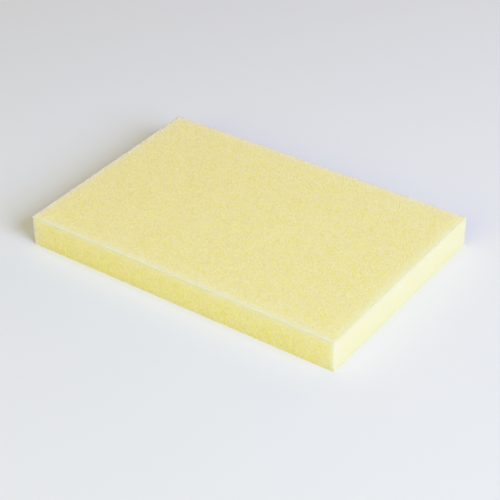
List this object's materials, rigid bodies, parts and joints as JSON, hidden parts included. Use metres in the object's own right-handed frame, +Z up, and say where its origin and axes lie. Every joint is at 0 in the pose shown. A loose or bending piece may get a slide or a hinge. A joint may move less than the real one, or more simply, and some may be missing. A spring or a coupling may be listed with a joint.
{
  "type": "foam block",
  "caption": "Rectangular block of flexible open-cell foam with knife-cut square edges, used as a soft pad, stand or packing piece.",
  "frame": {"origin": "centre of the underside, on the surface that the block lies on", "axes": "+X along the length, +Y along the width, +Z up through the thickness"},
  "size_m": [0.15, 0.1, 0.014],
  "materials": {
    "foam": "matt, open-cell polyurethane foam, pale yellow, paler along the cut edges"
  },
  "bodies": {
    "root": {"foam_block": "foam"}
  },
  "joints": []
}
